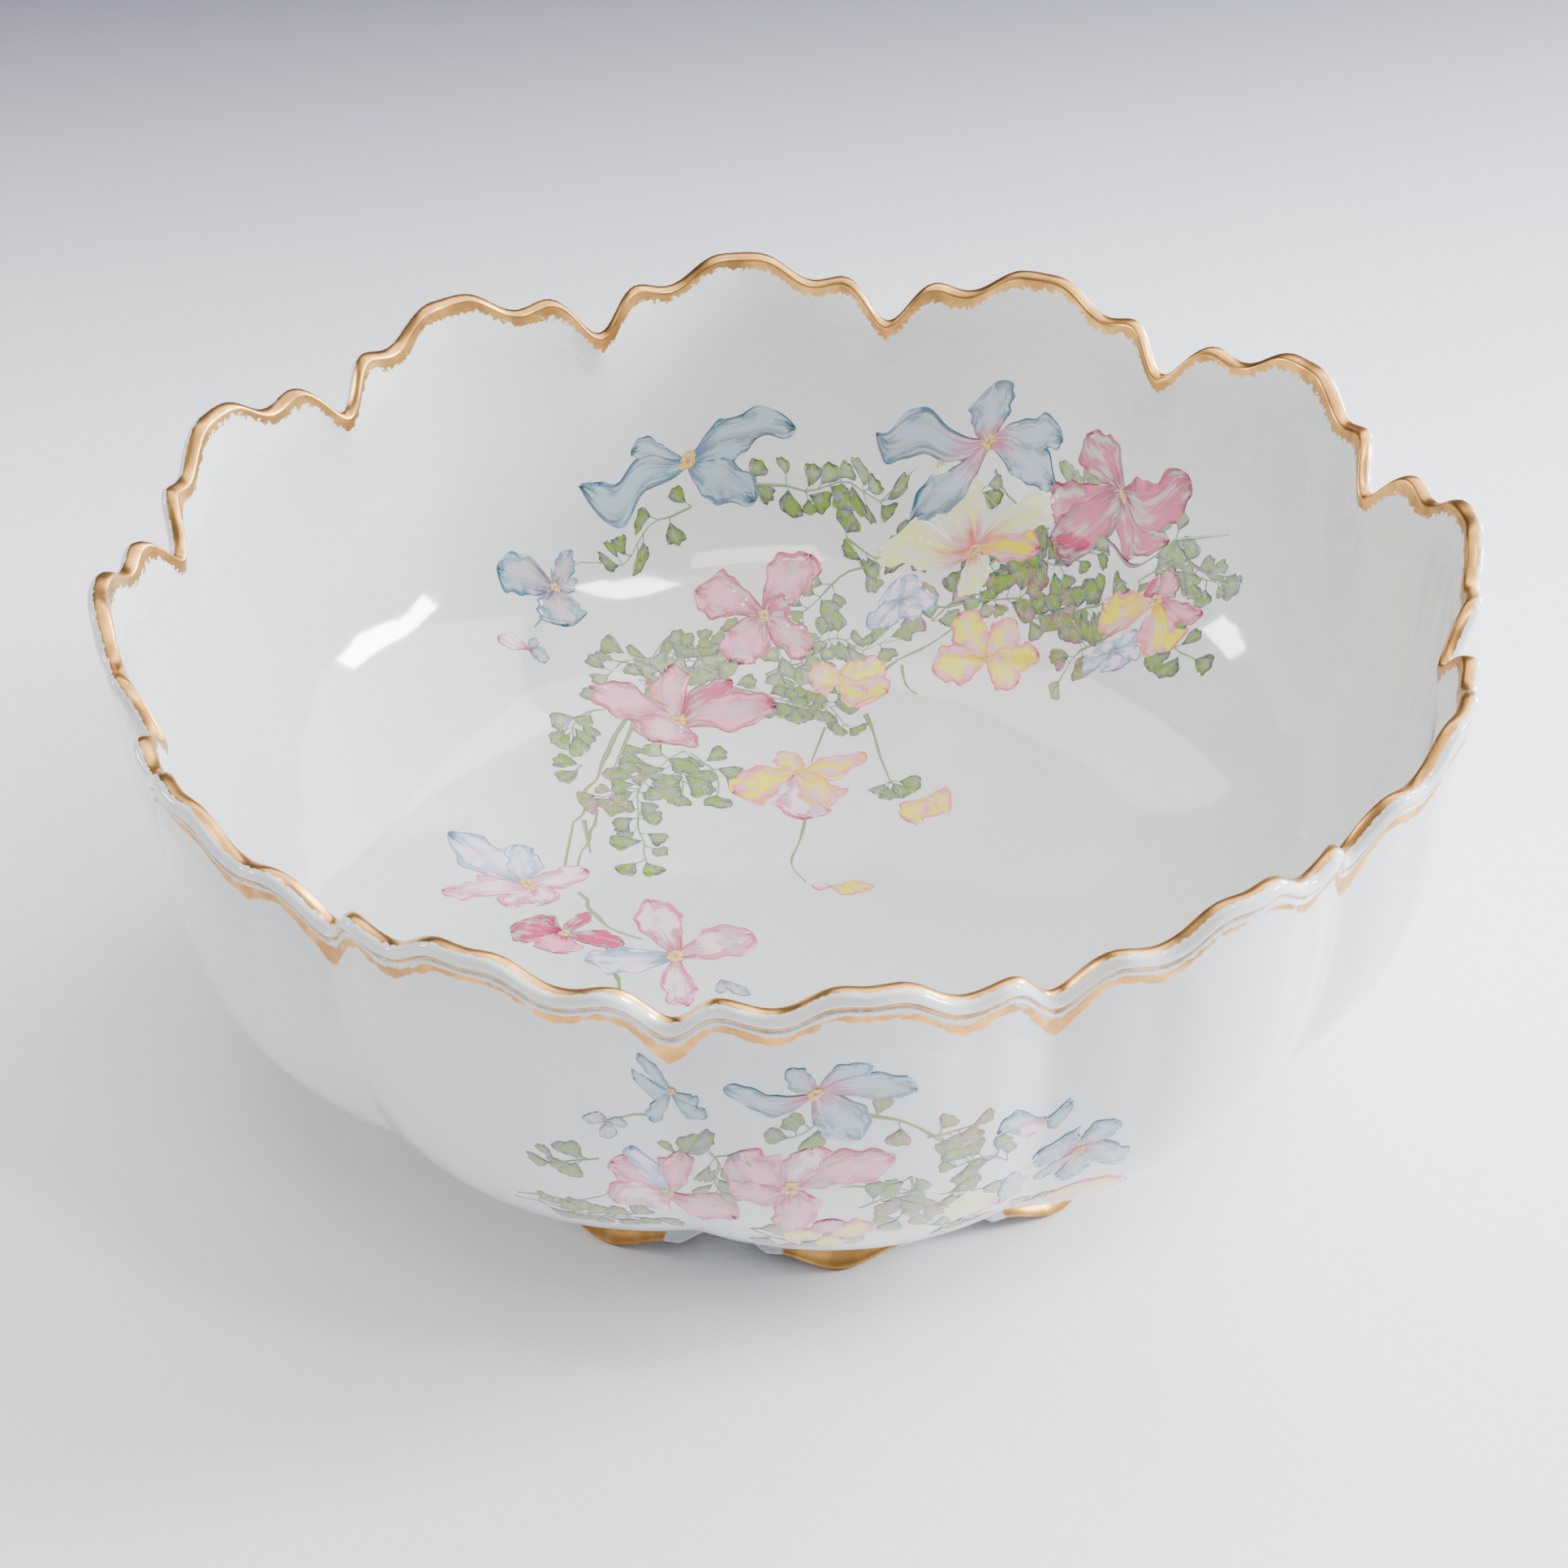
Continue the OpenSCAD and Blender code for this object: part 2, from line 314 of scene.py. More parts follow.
def edge_r(t):
    """Radius of the rim's edge."""
    return EDGE_MIDDLE_R + waves(t, EDGE_WAVES_R)


def curve_r(s, flat, full):
    """Radius of a superellipse at the share s of its depth, leaning out towards the mouth."""
    s = np.maximum(s, 0)
    bow = np.maximum(1 - s ** UPPER_ROUND, 0) ** (1 / LOWER_ROUND)
    return flat + (full - flat) * bow + SPLAY * (1 - s)


def curve_depth(g):
    """Share of the depth at which that curve has come in to the share g of its radius."""
    return (1 - g ** LOWER_ROUND) ** (1 / UPPER_ROUND)


def crease_at(s, r):
    """Depth of the creases at the share s of the wall's depth and the radius r."""
    return (CREASE_LOW_D + (CREASE_D - CREASE_LOW_D) * (1 - np.maximum(s, 0))) * r / WALL_R


def valley(t, soft):
    """0 in the middle of a lobe and 1 in the crease: a parabola with a rounded bottom."""
    from_crease = (np.sqrt((1 - t) ** 2 + soft ** 2) - soft) / (np.sqrt(1 + soft ** 2) - soft)
    return (1 - from_crease) ** 2


def outer_r(z, t):
    """Outside radius: the superellipse less the valleys between the lobes,
    and less a faint flute under each dip of the edge."""
    s = (MOUTH_Z - z) / FULL_OUT
    r = curve_r(s, FLAT_R, WALL_R)
    flute = FLUTE_D * np.exp(-((t - FLUTE_T) / FLUTE_WIDE_T) ** 2 - ((BOWL_H - z) / FLUTE_H) ** 2)
    return r - crease_at(s, r) * valley(t, CREASE_SOFT_OUT) - flute


def inner_r(z, t):
    """Inside radius: the same lobes, softer, which fade out towards the floor."""
    s = (MOUTH_Z - z) / FULL_IN
    r = curve_r(s, FLAT_R - WALL_T / 2, WALL_R - WALL_T)
    depth = np.maximum(crease_at(s, r) - CREASE_THINNING, 0) * (1 - np.maximum(s, 0))
    return r - depth * valley(t, CREASE_SOFT_IN)


def hump(d, middle, width):
    """A Gaussian bump of height 1 at the depth middle, with middle and width in mm."""
    return np.exp(-((d - middle * MM) / (width * MM)) ** 2)


def relief(d):
    """How far the moulded lines stand out at the depth d under the edge."""
    return sum(height * hump(d, middle, width) for height, middle, width in RELIEF) * MM


def outside(angle, d):
    """[radius, height] of the outside at the depth d under the edge."""
    t = lobe_share(angle)
    z = edge_z(t) - d
    fade = np.maximum(1 - d / LIP_H, 0) ** 2
    return outer_r(z, t) + (edge_r(t) - outer_r(edge_z(t), t)) * fade + relief(d), z


def inside(angle, d):
    """[radius, height] of the inside at the depth d under the edge."""
    t = lobe_share(angle)
    z = edge_z(t) - d
    fade = np.maximum(1 - d / LIP_H, 0) ** 2
    return inner_r(z, t) * (1 - fade) + (edge_r(t) - EDGE_T) * fade, z


def place(angle, r, z):
    """Points of the bowl from cylindrical coordinates, with the slight warp of its firing."""
    angle, r, z = np.broadcast_arrays(angle, r, z)
    lift = (z / BOWL_H) ** 2
    r = r * (1 - WARP_IN * np.cos(2 * angle - WARP_IN_TURN) * lift)
    z = z - WARP_UP * np.cos(2 * angle + WARP_UP_TURN) * lift
    return np.stack([r * np.sin(angle), -r * np.cos(angle), z], -1)


def full_depth(angle, full, d):
    """Depths that follow the edge near it and run level at the bottom, where d reaches full."""
    bottom = edge_z(lobe_share(angle)) - (MOUTH_Z - full)
    share = np.clip((d - LIP_H) / (full - LIP_H), 0, 1)
    return d * (1 + (bottom / full - 1) * share)


def grid_faces(rows, cols, close_cols=True):
    """Quads of a grid of rows by cols points, closed round its columns unless told not to be."""
    i = np.arange(rows - 1)[:, None]
    j = np.arange(cols if close_cols else cols - 1)[None, :]
    a, b = i * cols + j, i * cols + (j + 1) % cols
    c, d = (i + 1) * cols + (j + 1) % cols, (i + 1) * cols + j
    return np.stack([a, d, c, b], -1).reshape(-1, 4)


def wall_depths(full, rim_rows, wall_rows, floor_rows):
    """Depths of the rows from the roll down to the bottom: close under the rim, then spaced
    evenly down the wall, then by radius across the bottom."""
    turn_in = 0.8
    wall_end = full * curve_depth(turn_in)
    rim = np.linspace(ROLL_H, LIP_H, rim_rows, endpoint=False)
    wall = np.linspace(LIP_H, wall_end, wall_rows, endpoint=False)
    floor = full * curve_depth(np.linspace(turn_in, 0, floor_rows))
    return np.concatenate([rim, wall, floor])


def column_angles(per_half_lobe):
    """Angles of the columns, closer together near the creases."""
    t = 1 - (1 - np.arange(per_half_lobe) / per_half_lobe) ** 1.25
    lobe = np.concatenate([t, 2 - np.append(t[1:], 1.0)[::-1]])
    return ((lobe[None, :] + 2 * np.arange(LOBES)[:, None]) * np.pi / LOBES).ravel()


def body_grid():
    """Rows from the pole of the underside up the outside, over the roll, down to the floor, and
    each row's depth: negative outside, 0 on the roll and positive inside."""
    angle = column_angles(HALF_LOBE_COLUMNS)[None, :]
    d_out = wall_depths(FULL_OUT, *ROWS_OUT)[::-1, None]
    d_in = wall_depths(FULL_IN, *ROWS_IN)[:, None]
    r_out, z_out = outside(angle, full_depth(angle, FULL_OUT, d_out))
    r_in, z_in = inside(angle, full_depth(angle, FULL_IN, d_in))
    turn = np.linspace(0, np.pi, ROLL_ROWS)[1:-1, None]
    middle, half = (r_out[-1:] + r_in[:1]) / 2, (r_out[-1:] - r_in[:1]) / 2
    r_roll = middle + half * np.cos(turn)
    z_roll = z_out[-1:] + ROLL_H * np.sin(turn)
    depth = np.concatenate([-d_out, -ROLL_H * np.cos(turn), d_in])[:, 0]
    return depth, place(angle, np.concatenate([r_out, r_roll, r_in]),
                        np.concatenate([z_out, z_roll, z_in]))


def closed_shell(name, grid):
    """A mesh of the grid with its first and last rows closed to a point on the axis."""
    rows, cols = grid.shape[:2]
    poles = np.array([[0, 0, grid[0, 0, 2]], [0, 0, grid[-1, 0, 2]]])
    verts = np.concatenate([grid.reshape(-1, 3), poles])
    j = np.arange(cols)
    k = (j + 1) % cols
    low = np.stack([np.full(cols, rows * cols), k, j], -1)
    last = (rows - 1) * cols
    high = np.stack([np.full(cols, rows * cols + 1), last + j, last + k], -1)
    faces = grid_faces(rows, cols)[:, ::-1].tolist() + low.tolist() + high.tolist()
    return link_mesh(name, verts, faces)


GLAZE_COOL = (0.69, 0.725, 0.72, 1)
GLAZE_WARM = (0.75, 0.755, 0.74, 1)
GLAZE_ROUGHNESS = 0.09
GLAZE_IOR = 1.52
GLAZE_COAT = {"Coat Weight": 0.8, "Coat Roughness": 0.04}


def glaze(tree):
    """Glazed porcelain on Object coordinates: a glossy white that drifts between cooler and
    warmer, with the faint orange peel of a fired glaze."""
    place_in = object_place(tree)
    peel, swell = noise(tree, place_in, 260.0), noise(tree, place_in, 38.0, 1.0)
    bump = node(tree, "ShaderNodeBump", None, Strength=0.35, Distance=0.0002,
                Height=peel * 0.18 + swell)
    drift = noise(tree, place_in, 14.0, 3.0).step(0.35, 0.65)
    return {"Base Color": mix(tree, drift, GLAZE_COOL, GLAZE_WARM), "Normal": out(bump),
            "Roughness": GLAZE_ROUGHNESS, "IOR": GLAZE_IOR, **GLAZE_COAT}


porcelain = material("porcelain_glaze", glaze)
body_depth, body_points = body_grid()
bowl_body = closed_shell("glazed_bowl_body", body_points)
bowl_body.data.materials.append(porcelain)
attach(bowl_body, "root")
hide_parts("bowl_body")


# --- Rim gilding ------------------------------------------------------------------------------
# Gold brushed over the rolled edge and sponged down the inside. It is fired on over the glaze,
# so it is a skin a few hundredths of a mm above the glaze, and its lower edge is feathery.

SKIN_LIFT = 0.04 * MM
SKIN_TUCK = 0.03 * MM
GOLD_BRIGHT = (0.80, 0.42, 0.12, 1)
GOLD_DULL = (0.52, 0.27, 0.085, 1)
body_angle = column_angles(HALF_LOBE_COLUMNS)
body_t = lobe_share(body_angle)[None, :]


def grid_normals(grid):
    """Outward unit normals of a grid that is closed round its columns."""
    up = np.gradient(grid, axis=0)
    round_it = np.roll(grid, -1, 1) - np.roll(grid, 1, 1)
    normal = np.cross(round_it, up)
    return normal / np.linalg.norm(normal, axis=-1, keepdims=True)


body_normals = grid_normals(body_points)


def attribute(obj, name, values):
    """Stores a number, vector or colour for each point of a piece."""
    values = np.asarray(values, dtype=np.float32)
    kind, field = {1: ("FLOAT", "value"), 3: ("FLOAT_VECTOR", "vector"),
                   4: ("FLOAT_COLOR", "color")}[1 if values.ndim == 1 else values.shape[1]]
    made = obj.data.attributes.new(name, kind, "POINT")
    made.data.foreach_set(field, values.ravel())


def gilding_skin(name, top, bottom, gilt):
    """A skin on the body's rows between two depths. Its point attribute gilt is the distance in
    mm inside the painted outline, which the material cuts the gold out by."""
    rows = np.flatnonzero((body_depth >= top) & (body_depth <= bottom))
    lift = np.full((len(rows), 1, 1), SKIN_LIFT)
    lift[[0, -1]] = -SKIN_TUCK
    grid = body_points[rows] + body_normals[rows] * lift
    faces = grid_faces(*grid.shape[:2])[:, ::-1].tolist()
    skin = link_mesh(name, grid.reshape(-1, 3), faces)
    attribute(skin, "gilt", np.broadcast_to(gilt(body_depth[rows, None]), grid.shape[:2]).ravel())
    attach(skin, "root")
    return skin


def read(tree, name, field):
    """A point attribute of the piece, as its Fac, Color or Vector."""
    return out(node(tree, "ShaderNodeAttribute", {"attribute_name": name}), field)


def gold(tree, roughness, ragged, grain):
    """Fired gold inside the outline and glaze outside it. The outline is ragged by up to ragged
    mm either way, in a grain of the given fineness."""
    bare = glaze(tree)
    place_in = object_place(tree)
    sponge = noise(tree, place_in, grain, 4.0)
    mask = (read(tree, "gilt", "Fac") + (sponge - 0.5) * (2.0 * ragged)).step(-0.2, 0.3)
    brush = noise(tree, place_in, 180.0, 3.0).step(0.38, 0.66)
    metal = mix(tree, brush, GOLD_DULL, GOLD_BRIGHT)
    return {"Base Color": mix(tree, mask, bare["Base Color"], metal), "Normal": bare["Normal"],
            "Roughness": GLAZE_ROUGHNESS + mask * (roughness + sponge * 0.16),
            "Metallic": mask, "IOR": GLAZE_IOR}


def hand(angle, size):
    """The unevenness of a hand-held brush round the bowl, in mm."""
    return size * (np.sin(7 * angle + 1) + 0.7 * np.sin(19 * angle) + 0.5 * np.sin(43 * angle + 2))


def rim_outline(depth):
    """From just outside the top of the roll to 2.7 mm inside, and 3.6 mm in the creases. Its
    outer edge is brushed clean, so the distance there is made to grow faster."""
    bottom = 2.7 + 0.9 * body_t ** 4 + hand(body_angle, 0.30)
    return np.minimum((depth / MM + 0.45) * 6, bottom - depth / MM)


rim_gilding = gilding_skin("gold_rim_and_sponged_inside", -1.8 * MM, 11 * MM, rim_outline)
rim_gilding.data.materials.append(material("sponged_gold", gold, 0.16, 2.2, 900.0))
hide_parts("rim_gilding")


# --- Groove gilding ---------------------------------------------------------------------------
# A hair line of gold that fills the groove under the white bead.

def line_outline(depth):
    """A line 0.7 mm wide in the groove."""
    return 0.36 + hand(body_angle, 0.04) - np.abs(depth / MM + GROOVE_AT)


groove_gilding = gilding_skin("gold_line_in_groove", -4.1 * MM, -1.9 * MM, line_outline)
groove_gilding.data.materials.append(material("brushed_gold", gold, 0.22, 0.35, 900.0))
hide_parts("groove_gilding")


# --- Lower gold band --------------------------------------------------------------------------
# A broader brushed band under the white ridge, which runs down into a point at each crease and
# into a small one under each dip.

def band_outline(depth):
    """From 4.55 mm under the edge down to 5.8 mm, to 8.5 mm at a crease and 6.8 mm under a dip."""
    runs = 2.7 * body_t ** 5 + 0.9 * np.exp(-((body_t - 0.5) / 0.12) ** 2)
    bottom = 5.8 + runs + hand(body_angle, 0.22)
    return np.minimum(-depth / MM - 4.55, bottom + depth / MM)


drip_gilding = gilding_skin("gold_band_and_drips", -11.5 * MM, -4.0 * MM, band_outline)
drip_gilding.data.materials.append(material("dabbed_gold", gold, 0.22, 1.5, 380.0))
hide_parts("drip_gilding")


# --- Feet -------------------------------------------------------------------------------------
# A foot under each lobe, pressed in a mould and luted on: hollow on its outer side, with a
# flared lip that comes down in a middle scallop and stands higher on both sides of it. The
# middle scallop is gilded.

FOOT_LIP_R = 81.2 * MM
FOOT_IN_R = 60 * MM
FOOT_OUT_R = 74 * MM
FOOT_NECK_R = 70.5 * MM
FOOT_TOP_R = FOOT_OUT_R + 0.5 * MM
FOOT_SINK = 0.6 * MM
FOOT_END = np.radians(12.5)
FOOT_LIP_T = 1.2 * MM
FOOT_NECK_UP = 0.45
FOOT_SEAT_T = 0.08
INNER_BEND = 0.35
SCALLOP_END_T = 0.5
SCALLOP_H = 1.35 * MM
SCALLOP_IN = 1.3 * MM
SHOULDER_T = 0.62
SHOULDER_RISE = 9.0 * MM
SHOULDER_IN = 11 * MM
# Points of the lip's rounding: how far in from its edge, and how far up
LIP_ROUNDING = np.array([[0.1, 0.55], [0.5, 0.15], [1.1, 0.0], [3.2, 0.0]]) * MM
FOOT_COLUMNS = 49
FACE_ROWS = 11
GILT_END = np.radians(8.2)
GILT_COLUMNS = 33
GILT_LIFT = 0.06 * MM
GILT_ROWS = slice(2, 16)
# About how wide half a lobe is at the feet, in mm
HALF_LOBE_W = 20


def under_z(r):
    """Height of the underside at the radius r."""
    return MOUTH_Z - FULL_OUT * curve_depth((r - FLAT_R) / (WALL_R - FLAT_R))


def foot_edge(t):
    """Lift of the lip's edge: 0 on the seat in the middle, 2.7 mm beside the scallop, and more
    towards the foot's end."""
    scallop = SCALLOP_H * (1 - np.cos(np.pi * np.minimum(t / SCALLOP_END_T, 1)))
    return (scallop + SHOULDER_RISE * np.maximum(t - SHOULDER_T, 0)) * (t > FOOT_SEAT_T)


def foot_face(t):
    """The hollow outer side as a quadratic curve from the lip in to the neck and up to the body."""
    w = np.linspace(0, 1, FACE_ROWS)[:, None]
    lip, neck, upper = (1 - w) ** 2, 2 * w * (1 - w), w ** 2
    lip_r = (FOOT_LIP_R - SCALLOP_IN * np.minimum(t / SCALLOP_END_T, 1) ** 2
             - SHOULDER_IN * np.maximum(t - SHOULDER_T, 0))
    top = under_z(FOOT_OUT_R) + FOOT_SINK
    r = lip * lip_r + neck * FOOT_NECK_R + upper * FOOT_TOP_R
    return r, lip * (foot_edge(t) + FOOT_LIP_T) + neck * FOOT_NECK_UP * top + upper * top


def foot_section(t):
    """Closed sections of the foot: its seat, its hollow side, its rounded lip and its inner side."""
    r, z = foot_face(t)
    edge = foot_edge(t)
    lip_r = r[:1]
    round_r, round_z = lip_r - LIP_ROUNDING[:, :1], edge + LIP_ROUNDING[:, 1:]
    inner_r_mid = FOOT_IN_R + (lip_r - FOOT_IN_R) * INNER_BEND
    inner_z_mid = (edge + under_z(FOOT_IN_R)) / 2
    seat_r = np.array([[FOOT_IN_R], [(FOOT_IN_R + FOOT_OUT_R) / 2]])
    seat_z = under_z(seat_r) + FOOT_SINK
    flat = np.ones_like(t)
    return (np.concatenate([seat_r * flat, r[::-1], round_r, inner_r_mid]),
            np.concatenate([seat_z * flat, z[::-1], round_z, inner_z_mid * flat]))


def foot_mesh(name, turn):
    """A foot under the lobe at the angle turn, with flat ends."""
    angle = np.linspace(-FOOT_END, FOOT_END, FOOT_COLUMNS)[None, :]
    r, z = foot_section(np.abs(angle) * LOBES / np.pi)
    grid = place(angle + turn, r, z).transpose(1, 0, 2)
    rows, cols = grid.shape[:2]
    faces = grid_faces(rows, cols).tolist()
    ends = [list(range(cols)), [(rows - 1) * cols + j for j in range(cols - 1, -1, -1)]]
    foot = link_mesh(name, grid.reshape(-1, 3), faces + ends)
    foot.data.materials.append(porcelain)
    return foot


def foot_gold_mesh(name, turn):
    """The gold on the hollow side and lip of a foot's middle scallop, as a skin."""
    angle = np.linspace(-GILT_END, GILT_END, GILT_COLUMNS)[None, :]
    t = np.abs(angle) * LOBES / np.pi
    r, z = foot_section(t)
    r, z = r[GILT_ROWS][::-1], z[GILT_ROWS][::-1]
    run_r, run_z = np.gradient(r, axis=0), np.gradient(z, axis=0)
    size = np.hypot(run_r, run_z)
    lift = np.full((len(r), 1), GILT_LIFT)
    lift[[0, -1]] = -SKIN_TUCK
    grid = place(angle + turn, r + lift * run_z / size, z - lift * run_r / size)
    skin = link_mesh(name, grid.reshape(-1, 3),
                     grid_faces(*grid.shape[:2], close_cols=False)[:, ::-1].tolist())
    side = (SCALLOP_END_T - t) * HALF_LOBE_W + hand(angle * 3 + turn, 0.15)
    attribute(skin, "gilt", np.broadcast_to(side, grid.shape[:2]).ravel())
    skin.data.materials.append(foot_gold)
    return skin


foot_gold = material("foot_gold", gold, 0.26, 0.5, 700.0)
for number in range(1, LOBES + 1):
    around = 2 * np.pi * (number - 1) / LOBES
    foot = foot_mesh(f"porcelain_foot_{number:02d}", around)
    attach(foot, "root")
    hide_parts(f"foot_{number:02d}")
    foot_skin = foot_gold_mesh(f"gold_on_foot_{number:02d}", around)
    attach(foot_skin, "root")
    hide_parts(f"foot_gilding_{number:02d}")


# --- Flower sheets ----------------------------------------------------------------------------
# The flowers are printed transfers, touched up by hand: flat sheets laid on the glaze and fired.
# Each is drawn here on a flat sheet in mm and laid on the bowl. The inside sheet has its centre
# on the middle of the floor and +Y towards the back. The outside sheet is wrapped round the
# wall, with X along the rim from the middle of the front lobe and Y up to the edge.

WRAP_R = 118 * MM
INK_LIFT = 0.07 * MM
INK_STEP = 0.008 * MM


def arc_table(surface, full):
    """Distances along the surface under a dip, with the nominal depths that they belong to."""
    depth = np.unique(np.concatenate([np.linspace(0, 0.77 * full, 160),
                                      full * curve_depth(np.linspace(1, 0, 240))]))
    angle = np.full_like(depth, FLUTE_T * np.pi / LOBES)
    r, z = surface(angle, full_depth(angle, full, depth))
    along = np.concatenate([[0], np.cumsum(np.hypot(np.diff(r), np.diff(z)))])
    return along, depth, r[-1]


out_along, out_depth, _ = arc_table(outside, FULL_OUT)
in_along, in_depth, floor_flat_r = arc_table(inside, FULL_IN)
in_along = in_along[-1] - in_along + floor_flat_r


def lay_inside(x, y, turn):
    """Inside sheet: distance from its centre is distance along the surface from the floor's."""
    along = np.hypot(x, y) * MM
    angle = np.arctan2(x, -y)
    depth = np.interp(along, in_along[::-1], in_depth[::-1])
    r, z = inside(angle + turn, full_depth(angle + turn, FULL_IN, depth))
    return place(angle + turn, r * np.minimum(along / floor_flat_r, 1), z)


def lay_outside(x, y, turn):
    """Outside sheet: X is the angle times WRAP_R, and -Y the distance down from the edge."""
    angle = x * MM / WRAP_R + turn
    depth = np.interp(-y * MM, out_along, out_depth)
    r, z = outside(angle, full_depth(angle, FULL_OUT, depth))
    return place(angle, r, z)


def laid(lay, x, y, turn, lift):
    """Points of a sheet laid on the bowl and raised by lift along its normal."""
    step = 0.05
    point = lay(x, y, turn)
    normal = np.cross(lay(x + step, y, turn) - point, lay(x, y + step, turn) - point)
    return point + normal / np.linalg.norm(normal, axis=-1, keepdims=True) * lift[..., None]


TONE_IN = np.array([[0.8425, 0.0784, 0.0792], [0.0423, 0.8785, 0.0792], [0.0424, 0.0784, 0.8791]])
TONE_TERMS = [15.5, -40.14, 31.96, -6.868, 0.4298, 0.1191, -0.0023]
TONE_STOPS = (-12.474, 4.026)
WHITE_SHOWN = 212
WHITE_ALBEDO = 0.72
ALBEDO_LIMITS = (0.012, 0.86)


def brightness(shown):
    """The light that the film-like tone curve shows as these 8-bit values."""
    share = np.linspace(0, 1, 500)
    stops = TONE_STOPS[0] + share * (TONE_STOPS[1] - TONE_STOPS[0])
    curve = np.maximum.accumulate(np.polyval(TONE_TERMS, share))
    mixed = TONE_IN @ (np.asarray(shown) / 255)
    return np.linalg.solve(TONE_IN, 2.0 ** np.interp(mixed, curve, stops))


def rgb(red, green, blue):
    """A paint's own colour, from how it shows next to the white of the glaze."""
    colour = WHITE_ALBEDO * brightness([red, green, blue]) / brightness([WHITE_SHOWN] * 3)
    return np.append(np.clip(colour, *ALBEDO_LIMITS), 1.0)


# Each ink: the colour of a petal's edge, of its middle and of its foot
INKS = {
    "blue": (rgb(44, 132, 160), rgb(188, 200, 206), rgb(60, 138, 164)),
    "blue_rose": (rgb(46, 134, 162), rgb(194, 200, 208), rgb(206, 88, 140)),
    "sky": (rgb(84, 150, 178), rgb(206, 200, 202), rgb(140, 84, 146)),
    "rose": (rgb(186, 48, 108), rgb(212, 130, 162), rgb(172, 36, 96)),
    "pink": (rgb(208, 64, 126), rgb(228, 188, 200), rgb(200, 52, 114)),
    "blush": (rgb(214, 118, 160), rgb(226, 210, 214), rgb(208, 84, 136)),
    "cream": (rgb(224, 222, 204), rgb(226, 222, 190), rgb(220, 132, 158)),
    "yellow": (rgb(222, 146, 172), rgb(228, 218, 124), rgb(224, 190, 118)),
    "pearl": (rgb(142, 174, 200), rgb(216, 210, 216), rgb(98, 146, 178)),
    "gold_eye": (rgb(206, 136, 92), rgb(228, 208, 116), rgb(200, 88, 104)),
    "leaf": (rgb(112, 108, 108), rgb(166, 186, 108), rgb(62, 112, 116)),
    "rose_leaf": (rgb(178, 104, 132), rgb(168, 186, 114), rgb(68, 112, 120)),
    "stem": (rgb(134, 152, 100), rgb(166, 180, 118), rgb(146, 160, 110)),
    "rose_stem": (rgb(140, 88, 112), rgb(170, 112, 134), rgb(154, 98, 126)),
}


